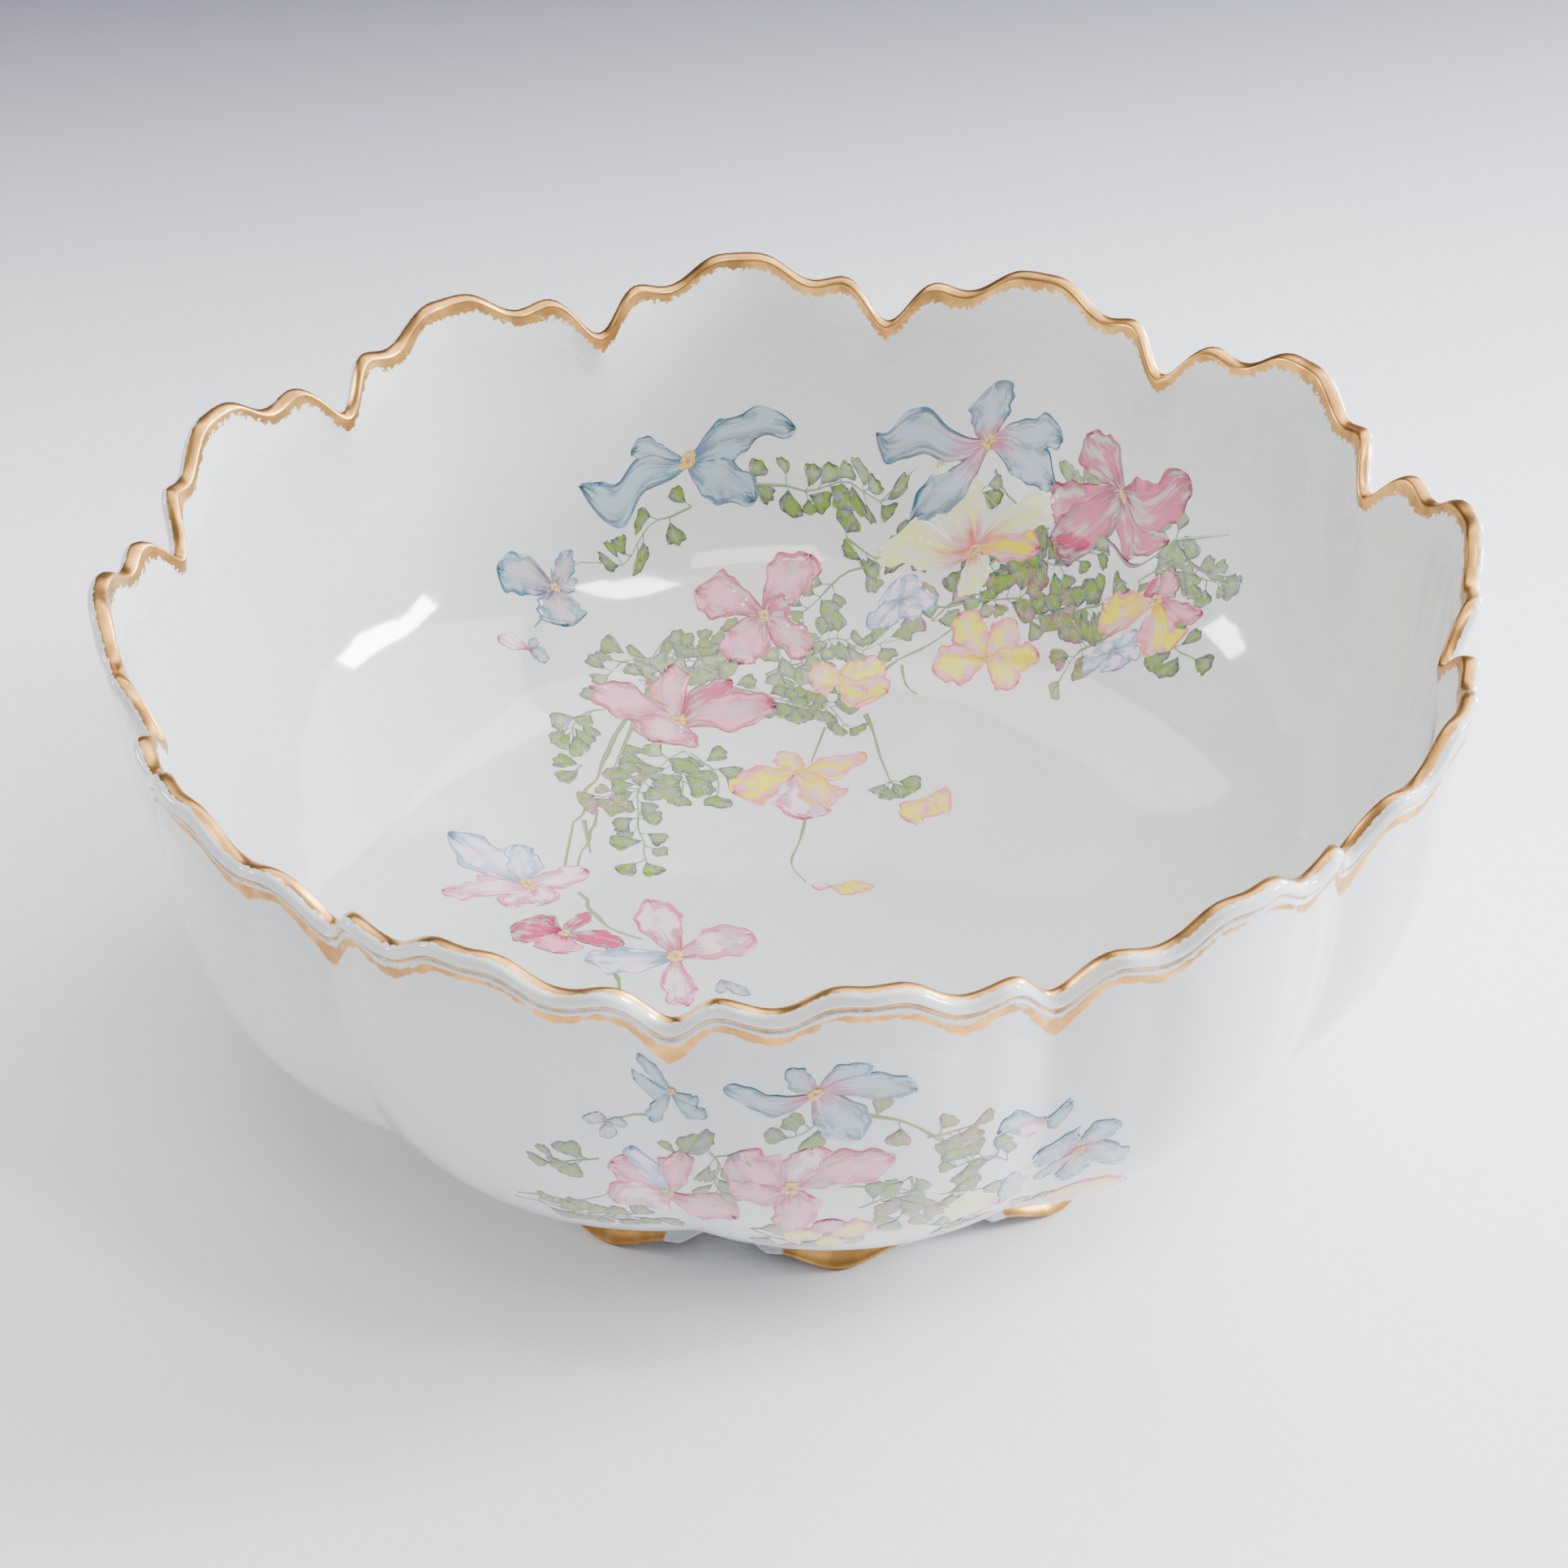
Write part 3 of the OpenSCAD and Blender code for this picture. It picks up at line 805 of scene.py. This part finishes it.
class Print:
    """Patches of ink that are printed as one piece: each is a grid of sheet points with its
    place in the petal and its three colours."""

    def __init__(self, seed):
        self.random = np.random.default_rng(seed)
        self.patches = []

    def patch(self, x, y, u, v, ink, lift):
        seed = self.random.uniform(0, 50)
        inner = np.clip((1 - np.abs(v)) * 12, 0, 1) * np.clip((1 - u) * 12 + 0.4, 0, 1)
        height = (INK_LIFT + INK_STEP * (len(self.patches) % 12) + lift) * inner
        where = np.stack([u, (v + 1) / 2, np.full_like(u, seed)], -1)
        self.patches.append((x, y, height, where, INKS[ink]))

    def petal(self, x0, y0, direction, length, width, ink, lift=0.09 * MM, rows=26, cols=13):
        """A ruffled petal: narrow at its foot, widest at the share belly of its length, rounded
        or notched at the tip, and bent to one side."""
        u = np.sin(np.linspace(0, np.pi / 2, rows))[:, None]
        v = np.sin(np.linspace(-np.pi / 2, np.pi / 2, cols))[None, :]
        u, v = np.broadcast_arrays(u, v)
        draw = self.random.uniform
        belly, claw, blunt = draw(0.50, 0.70), draw(0.12, 0.24), draw(0.38, 0.62)
        swell = claw + (1 - claw) * np.sin(np.pi / 2 * np.minimum(u / belly, 1)) ** 1.2
        past = np.clip((u - belly) / (1 - belly), 0, 1)
        breadth = np.where(u < belly, swell, (1 - past ** 2) ** blunt)
        side = np.sign(v) * (np.abs(v) > 0.3)
        ruffle = 1 + u * (0.16 * np.sin(draw(9, 13) * u + side * draw(0.5, 2) + draw(0, 6))
                          + 0.13 * np.sin(draw(20, 27) * u + side * 2 + draw(0, 6)))
        notch = draw(0.0, 0.07) * np.exp(-(v / 0.3) ** 2) * u ** 3
        wave = draw(0.015, 0.04) * u ** 3 * np.sin(draw(8, 14) * v + draw(0, 6))
        along = length * (u - notch + wave)
        across = 0.57 * width * v * breadth * ruffle + draw(-0.12, 0.12) * length * u ** 2
        turn = np.radians(direction)
        x = x0 + along * np.cos(turn) - across * np.sin(turn)
        y = y0 + along * np.sin(turn) + across * np.cos(turn)
        self.patch(x, y, u, v, ink, lift)

    def leaflet(self, x0, y0, direction, size, ink):
        """A fan-shaped leaflet with a rounded end of three shallow lobes."""
        draw = self.random.uniform
        u = np.linspace(0, 1, 7)[:, None]
        v = np.linspace(-1, 1, 13)[None, :]
        u, v = np.broadcast_arrays(u, v)
        fan = np.radians(draw(34, 50))
        reach = 1 - 0.30 * v ** 4 + draw(0.03, 0.07) * np.cos(3 * np.pi * v + draw(-0.6, 0.6))
        turn = np.radians(direction) + fan * v + draw(-0.25, 0.25) * u
        x = x0 + size * u * reach * np.cos(turn)
        y = y0 + size * u * reach * np.sin(turn)
        self.patch(x, y, u, v, ink, 0.0)

    def stem(self, points, width, ink="stem"):
        """A ribbon along a route whose corners are cut three times over; returns the route."""
        route = np.array(points, dtype=float)
        for _ in range(3):
            near, far = 0.75 * route[:-1] + 0.25 * route[1:], 0.25 * route[:-1] + 0.75 * route[1:]
            cut = np.stack([near, far], 1).reshape(-1, 2)
            route = np.concatenate([route[:1], cut[1:-1], route[-1:]])
        run = np.gradient(route, axis=0)
        side = np.stack([-run[:, 1], run[:, 0]], -1) / np.linalg.norm(run, axis=1, keepdims=True)
        v = np.linspace(-1, 1, 5)[None, :] * np.ones((len(route), 1))
        share = np.linspace(0, 1, len(route))[:, None]
        uneven = 1 + 0.25 * np.sin(share * self.random.uniform(9, 16) + self.random.uniform(0, 6))
        wide = width / 2 * uneven * (1 - 0.45 * share) * v
        x = route[:, :1] + side[:, :1] * wide
        y = route[:, 1:] + side[:, 1:] * wide
        self.patch(x, y, 0.35 + 0.2 * share * np.ones_like(v), v, ink, -0.02 * MM)
        return route

    def sprig(self, points, pairs, size, ink="leaf"):
        """A stem with leaflets on both sides, each on a short stalk, and one at its end."""
        route = self.stem(points, 0.55)
        draw = self.random.uniform
        for number in range(2 * pairs):
            share = (number // 2 + draw(0.2, 0.9)) / pairs
            spot = min(int(share * (len(route) - 1)), len(route) - 2)
            way = np.degrees(np.arctan2(*(route[spot + 1] - route[spot])[::-1]))
            side = 0 if number == 2 * pairs - 1 else (1 if number % 2 else -1) * draw(35, 85)
            off = np.radians(way + side)
            start = route[spot]
            x, y = start + draw(0.4, 2.2) * np.array([np.cos(off), np.sin(off)])
            self.stem([start, (x, y)], 0.35)
            self.leaflet(x, y, way + side + draw(-18, 18), size * draw(0.7, 1.2), ink)

    def eye(self, x, y, size):
        """The cluster in a flower's middle: seven short petals round a point."""
        for number in range(7):
            self.petal(x, y, number * 51.4 + self.random.uniform(-15, 15),
                       size * self.random.uniform(0.7, 1.1), size * 0.8, "gold_eye", 0.16 * MM, 5, 5)

    def press(self, name, lay, turn, paint):
        """Lays the patches on the bowl as one piece."""
        verts, faces, where, inks, start = [], [], [], [], 0
        for x, y, height, places, ink in self.patches:
            grid = laid(lay, x, y, turn, height)
            rows, cols = grid.shape[:2]
            verts.append(grid.reshape(-1, 3))
            faces.append(grid_faces(rows, cols, close_cols=False) + start)
            where.append(places.reshape(-1, 3))
            inks.append(np.repeat(np.stack(ink)[:, None], rows * cols, 1))
            start += rows * cols
        piece = link_mesh(name, np.concatenate(verts), np.concatenate(faces).tolist())
        attribute(piece, "petal", np.concatenate(where))
        for key, values in zip(("edge_ink", "middle_ink", "foot_ink"), np.concatenate(inks, 1)):
            attribute(piece, key, values)
        piece.data.materials.append(paint)
        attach(piece, "root")
        return piece


def china_paint(tree, veins, wash):
    """Transparent ceramic colours over the glaze: the edge's ink is drawn in from the outline in
    streaks along the petal, the foot's ink runs up from its foot, and patches of the print are
    thin enough to show the white."""
    bare = glaze(tree)
    edge_ink, middle_ink, foot_ink = (read(tree, f"{part}_ink", "Color")
                                      for part in ("edge", "middle", "foot"))
    split = node(tree, "ShaderNodeSeparateXYZ", None, Vector=read(tree, "petal", "Vector"))
    u, v, seed = (out(split, number) for number in range(3))
    streak_at = node(tree, "ShaderNodeCombineXYZ", None, X=u * 1.4 + seed, Y=v * 9.0, Z=seed)
    streak = noise(tree, out(streak_at), 1.0, 3.0)
    blot_at = node(tree, "ShaderNodeCombineXYZ", None, X=u * 2.2, Y=v * 2.0 + seed, Z=seed)
    blot = noise(tree, out(blot_at), 1.5, 4.0)
    border = (v * 2.0 - 1.0).size().larger((u - 0.72) * 3.6)
    edge = (border + (streak - 0.5) * veins + (blot - 0.5) * 4.4).step(0.10, 0.92)
    foot = (0.40 - u + (streak - 0.5) * 0.7).step(-0.04, 0.30)
    line = (border + (blot - 0.5) * 0.3).step(0.80, 0.95) * blot.step(0.36, 0.62)
    thin = (blot + (streak - 0.5) * 0.7).step(0.44, 0.66) * wash
    colour = mix(tree, edge, middle_ink, edge_ink)
    colour = mix(tree, foot * 0.9, colour, foot_ink)
    colour = mix(tree, thin, colour, bare["Base Color"])
    return {**bare, "Base Color": mix(tree, line * 0.85, colour, edge_ink)}


petal_paint = material("petal_paint", china_paint, 2.2, 0.55)
leaf_paint = material("leaf_paint", china_paint, 1.6, 0.30)


# --- Inside spray -----------------------------------------------------------------------------
# The main transfer: blossoms of loose ruffled petals along the back wall, with maidenhair sprigs
# and stems that trail down over the floor towards the left.

# Each blossom: name, place on the sheet, ink, size of its eye, and its petals as (direction,
# length, width) or (direction, length, width, ink)
INSIDE_BLOSSOMS = [
    ("blue_left", -14, 130, "blue", 2.4,
     [(167, 15, 4.5), (-163, 27, 9), (-43, 20, 8), (0, 17, 8), (11, 27, 6)]),
    ("sky_left", -44, 100, "sky", 1.3,
     [(-175, 12, 9), (74, 9, 4.5), (-69, 9, 9), (19, 5.5, 3)]),
    ("sky_bud", -48, 83, "sky", 0.0, [(-18, 4.5, 3), (165, 7, 3, "blush"), (60, 3, 2)]),
    ("blue_middle", 59, 121, "blue_rose", 2.0,
     [(66, 12.5, 10), (151, 29, 9.5), (-21, 19, 7), (-51, 19, 8), (-161, 23, 7.5)]),
    ("rose_right", 90, 100, "rose", 1.4,
     [(103, 16, 10), (-19, 19, 14), (-65, 16, 5.5), (-98, 10, 7), (168, 22, 9), (-169, 23, 10)]),
    ("cream_middle", 49, 100, "cream", 1.8,
     [(90, 23, 11), (10, 24, 6.5), (150, 22, 9), (-22, 15, 6, "yellow"), (-100, 10, 6)]),
    ("pink_middle", 2, 93, "pink", 1.6,
     [(58, 19, 8), (145, 17, 8), (-39, 12, 8), (-126, 13, 10), (34, 7, 5, "rose")]),
    ("pink_floor", -19, 70, "pink", 2.0,
     [(166, 18, 9), (97, 15, 8.5), (30, 15, 6.5, "rose"), (-3, 21, 10), (-115, 10, 12)]),
    ("yellow_right", 87, 75, "yellow", 1.6,
     [(139, 12, 10), (-103, 12, 10), (-45, 12, 4, "pink"), (60, 6, 6, "rose"), (20, 7, 5, "pink")]),
    ("pearl_right", 76, 70, "pearl", 0.0,
     [(20, 5, 4), (95, 5, 4), (170, 6, 5), (-110, 6, 5), (-50, 6, 4)]),
    ("yellow_middle", 47, 75, "yellow", 1.4,
     [(111, 13, 6.5), (44, 10.5, 6.5), (-2, 12, 6), (-179, 11, 10), (-41, 9, 7)]),
    ("yellow_left", 17, 79, "yellow", 1.0,
     [(-168, 7, 9), (16, 10, 9), (-33, 11.5, 8), (-59, 8, 7)]),
    ("sky_middle", 32, 95, "pearl", 0.0,
     [(-10, 8, 5), (40, 6, 5), (100, 6, 5), (175, 7, 5), (-130, 6, 5), (-60, 6, 5)]),
    ("yellow_floor", 5, 48, "yellow", 1.3,
     [(-156, 14.5, 11), (16, 15, 6.5), (108, 7.5, 5.5), (-96, 15, 10, "blush"), (-59, 12, 9)]),
    ("yellow_bud", 30, 37, "yellow", 0.0, [(-132, 8.5, 6), (-59, 5.5, 6), (-6, 6, 6.5)]),
    ("yellow_trace", 8, 10, "yellow", 0.0, [(-5, 8, 3.5), (-35, 5, 2.5), (178, 4, 2, "blush")]),
    ("pale_left", -52, 16, "pearl", 1.9,
     [(180, 16, 6.5, "blush"), (129, 20, 8.5), (91, 12, 7.5), (13, 13.5, 5.5, "blush"),
      (-120, 7.5, 5.5, "blush"), (-51, 7.5, 6, "blush")]),
    ("rose_floor", -44, 0, "rose", 1.2,
     [(157, 10, 8), (62, 7.5, 3.5), (-15, 11, 5), (-112, 6.5, 7.5, "pink")]),
    ("blush_floor", -24, -9, "blush", 1.9,
     [(99, 18.5, 7.5), (21, 16, 9), (-176, 17, 7.5, "pearl"), (-94, 15, 5.5)]),
    ("stray_petal", -16, -17, "sky", 0.0, [(-50, 7, 2.5), (-95, 4, 2)]),
]

# Each sprig: its route on the sheet, the number of its pairs of leaflets, and their ink where it
# isn't plain leaf
INSIDE_SPRIGS = [
    ([(-13, 120), (-25, 115), (-39, 106)], 4),
    ([(1, 121), (21, 123), (41, 123)], 10),
    ([(22, 111), (33, 110), (41, 105)], 5),
    ([(1, 87), (-11, 88), (-30, 84)], 9),
    ([(27, 108), (15, 99), (6, 92)], 4),
    ([(1, 78), (9, 83), (23, 87)], 6),
    ([(5, 80), (12, 71), (20, 62)], 6),
    ([(35, 93), (51, 87), (75, 84)], 11, "rose_leaf"),
    ([(55, 96), (67, 92), (82, 92)], 7),
    ([(88, 84), (98, 77), (103, 64)], 6),
    ([(97, 84), (109, 76)], 2),
    ([(88, 84), (91, 81), (97, 77)], 3),
    ([(88, 69), (87, 62), (89, 56)], 3),
    ([(81, 76), (69, 75), (61, 65)], 5, "rose_leaf"),
    ([(-21, 91), (-28, 85), (-34, 79)], 4),
    ([(-32, 71), (-40, 66), (-39, 57)], 4),
    ([(-18, 59), (-25, 51), (-28, 43), (-29, 31), (-27, 16)], 12),
    ([(-17, 59), (-11, 51), (-13, 41)], 4),
    ([(-27, 45), (-32, 46), (-37, 42)], 4, "rose_leaf"),
    ([(-39, 54), (-42, 50)], 1),
    ([(54, 112), (56, 106)], 2),
    ([(4, 85), (18, 89), (33, 86)], 9),
    ([(38, 89), (52, 96), (67, 99)], 9),
    ([(58, 83), (72, 80), (86, 86)], 9),
    ([(-26, 80), (-16, 85), (-4, 84)], 7),
    ([(-6, 76), (4, 70), (13, 71)], 6),
    ([(66, 108), (76, 104), (84, 110)], 4),
    ([(98, 94), (108, 92)], 3),
    ([(-24, 60), (-18, 50), (-20, 40)], 6),
    ([(23, 43), (25, 39)], 2),
]

# Each stem: its route on the sheet, its width, and its ink where it isn't plain stem
INSIDE_STEMS = [
    ([(-29, 69), (-34, 52), (-40, 45), (-44, 20)], 1.1),
    ([(-27, 69), (-32, 51)], 0.9),
    ([(-40, 37), (-38, 25)], 0.7),
    ([(-37, 40), (-39, 28), (-41, 20)], 0.8),
    ([(12, 63), (8, 52)], 0.7),
    ([(5, 33), (3, 25), (0, 18), (3, 12)], 0.6),
    ([(21, 67), (22, 57), (23, 42)], 0.8),
    ([(-42, 13), (-40, 8), (-36, 1), (-30, -3)], 1.0),
    ([(-36, -12), (-35, -16), (-34, -23)], 1.0),
    ([(24, 77), (32, 82), (43, 85)], 0.8),
    ([(30, 79), (30, 74), (32, 70)], 0.6),
    ([(58, 114), (58, 109), (62, 103)], 0.8),
    ([(-39, 106), (-44, 102)], 0.5),
    ([(-44, 96), (-47, 88)], 0.6),
    ([(-22, 84), (-26, 72)], 0.9),
    ([(74, 95), (82, 92), (91, 88), (100, 76), (103, 68)], 1.1, "rose_stem"),
]


def press_spray(where, lay, turn, stems, sprigs, leaf_size, blossoms, seed, blossom_seed):
    """Prints the stems as one piece, the sprigs as another, and each blossom as a piece of its
    own: its petals, then its eye."""
    sheet = Print(seed)
    for route, width, *own in stems:
        sheet.stem(route, width, *own)
    sheet.press(f"{where}_stems", lay, turn, leaf_paint)
    sheet = Print(seed + 1)
    for route, pairs, *own in sprigs:
        sheet.sprig(route, pairs, leaf_size, *own)
    sheet.press(f"{where}_maidenhair_sprigs", lay, turn, leaf_paint)
    for number, (name, x, y, ink, eye, petals) in enumerate(blossoms):
        sheet = Print(blossom_seed + number)
        for direction, length, width, *own in petals:
            sheet.petal(x, y, direction, length, width, own[0] if own else ink)
        if eye:
            sheet.eye(x, y, eye)
        sheet.press(f"{where}_{name}_blossom", lay, turn, petal_paint)


press_spray("inside", lay_inside, 0.0, INSIDE_STEMS, INSIDE_SPRIGS, 4.7, INSIDE_BLOSSOMS, 1, 10)


# --- Outside sprays ---------------------------------------------------------------------------
# A smaller transfer low on the front wall, cut off by the turn of the wall into the underside,
# and the same one again a third of the way round on each side.

OUTSIDE_BLOSSOMS = [
    ("blue_small", -31, -15, "blue", 0.9,
     [(-149, 6, 3.5), (-54, 7, 2.5), (-113, 10, 2), (-65, 11, 2), (140, 6, 3)]),
    ("blue", -8, -20, "blue_rose", 1.4,
     [(-177, 14, 4.5), (123, 8.5, 3), (30, 9, 4), (2, 15, 5), (-63, 13, 7)]),
    ("blue_bud", -41, -29, "sky", 0.0, [(149, 4, 2.5), (-90, 4, 2.5), (0, 3, 2)]),
    ("pink_left", -33, -43, "pink", 1.3,
     [(160, 9, 7), (76, 14, 5), (-36, 15, 8), (-134, 12, 8, "blush"), (118, 10, 5, "pearl")]),
    ("pink_front", -12, -40, "pink", 2.0,
     [(147, 11, 11), (12, 16.5, 8), (-81, 15, 7), (-152, 11, 6.5), (70, 9, 7, "blush")]),
    ("blue_right", 37, -43, "blue_rose", 1.2,
     [(134, 9, 7), (50, 8, 5), (-30, 11, 6), (-81, 9.5, 5), (-160, 7, 4)]),
    ("blue_petals_right", 31, -28, "blue", 0.0, [(-157, 11, 4.5), (-22, 4, 5), (-140, 8, 3, "blush")]),
    ("cream_right", 25, -55, "cream", 1.0, [(66, 17, 7), (161, 12.5, 8), (80, 12, 5, "sky")]),
    ("cream_low_right", 35, -58, "yellow", 0.0, [(-40, 15, 8, "pink"), (-138, 5.5, 6), (-8, 15, 8)]),
    ("yellow_low", -6, -58, "yellow", 1.0, [(170, 8, 6), (20, 8, 6), (90, 6, 5, "pink"), (-80, 7, 5)]),
]
OUTSIDE_SPRIGS = [
    ([(-60, -58), (-50, -56), (-43, -58), (-34, -57)], 8),
    ([(-43, -38), (-47, -38), (-51, -41)], 3),
    ([(-30, -31), (-28, -27)], 2),
    ([(-25, -33), (-23, -37), (-25, -42), (-21, -48)], 4),
    ([(-5, -25), (-10, -28), (-15, -27)], 2),
    ([(-2, -26), (4, -28), (10, -30), (16, -31)], 2, "rose_leaf"),
    ([(9, -31), (14, -28), (19, -29)], 2, "rose_leaf"),
    ([(24, -41), (18, -37), (12, -38)], 6),
    ([(12, -45), (16, -45), (22, -49)], 3),
    ([(-1, -49), (4, -46), (9, -45)], 3),
    ([(7, -41), (8, -48), (4, -57)], 6, "rose_leaf"),
    ([(-19, -56), (-11, -61), (-2, -60)], 6, "rose_leaf"),
    ([(9, -55), (16, -58), (22, -60)], 4),
    ([(30, -60), (38, -57)], 2),
]
OUTSIDE_STEMS = [
    ([(-39, -28), (-34, -23), (-32, -19)], 0.5),
    ([(-59, -56), (-50, -52), (-36, -45)], 0.7),
    ([(-3, -25), (4, -28), (14, -32), (17, -36)], 0.6),
    ([(-8, -42), (6, -44), (16, -50)], 0.6),
]
for number, degrees in enumerate((0, 120, 240), 1):
    press_spray(f"outside_{number}", lay_outside, np.radians(degrees), OUTSIDE_STEMS,
                OUTSIDE_SPRIGS, 4.2, OUTSIDE_BLOSSOMS, 100 * number, 100 * number + 10)


# --- Raised enamel ----------------------------------------------------------------------------
# Drops of white and yellow enamel that stand up from the print, in the middles of the blossoms
# and along the cream petals.

DROP_H = 0.45 * MM
DROP_RINGS = 6
DROP_SIDES = 12


def drop(lay, x, y, radius):
    """A low dome: a disc of rings raised by a quarter circle."""
    ring = np.sin(np.linspace(0.02, np.pi / 2, DROP_RINGS))[:, None]
    around = np.linspace(0, 2 * np.pi, DROP_SIDES + 1)[None, :-1]
    height = DROP_H * radius * np.sqrt(np.maximum(1 - ring ** 2, 0)) + 0.02 * MM
    height = np.broadcast_to(height, (DROP_RINGS, DROP_SIDES))
    return laid(lay, x + radius * ring * np.cos(around), y + radius * ring * np.sin(around),
                0.0, height)


def enamel_drops(name, lay, drops, paint):
    """One piece of drops, each given as (x, y, radius)."""
    verts, faces = [], []
    for number, (x, y, radius) in enumerate(drops):
        grid = drop(lay, x, y, radius)
        rows, cols = grid.shape[:2]
        verts.append(grid.reshape(-1, 3))
        start = number * rows * cols
        faces += (grid_faces(rows, cols) + start).tolist()
        faces.append(list(range(start, start + cols)))
    piece = link_mesh(name, np.concatenate(verts), faces)
    piece.data.materials.append(paint)
    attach(piece, "root")


def enamel(tree, pale, deep):
    """Glossy raised enamel that varies between two tones."""
    tone = noise(tree, object_place(tree), 700.0)
    return {"Base Color": mix(tree, tone, pale, deep), "Roughness": 0.12}


def scattered(x, y, spread, count, seed):
    """Drops of uneven size scattered round a point."""
    draw = np.random.default_rng(seed).uniform
    return [(x + draw(-spread, spread), y + draw(-spread, spread), draw(0.3, 0.6))
            for _ in range(count)]


yellow_drops = sum((scattered(x, y, eye * 0.7, 7, 50 + number) for number, (_, x, y, _, eye, _)
                    in enumerate(INSIDE_BLOSSOMS) if eye), [])
enamel_drops("yellow_enamel_drops", lay_inside, yellow_drops,
             material("yellow_enamel", enamel, (0.92, 0.76, 0.30, 1), (0.90, 0.60, 0.22, 1)))
white_drops = (scattered(-19, 67, 1.6, 5, 80) + scattered(-2, 97, 2.2, 4, 81)
               + scattered(8, 92, 2.0, 3, 82) + scattered(48, 91, 1.8, 7, 83)
               + [(48 - 1.9 * k, 101.5 + 1.15 * k, 0.55) for k in range(4, 11)]
               + [(66 + 1.3 * k, 102.5 + 0.5 * k, 0.6) for k in range(5)])
enamel_drops("white_enamel_drops", lay_inside, white_drops,
             material("white_enamel", enamel, (0.92, 0.91, 0.84, 1), (0.90, 0.86, 0.70, 1)))
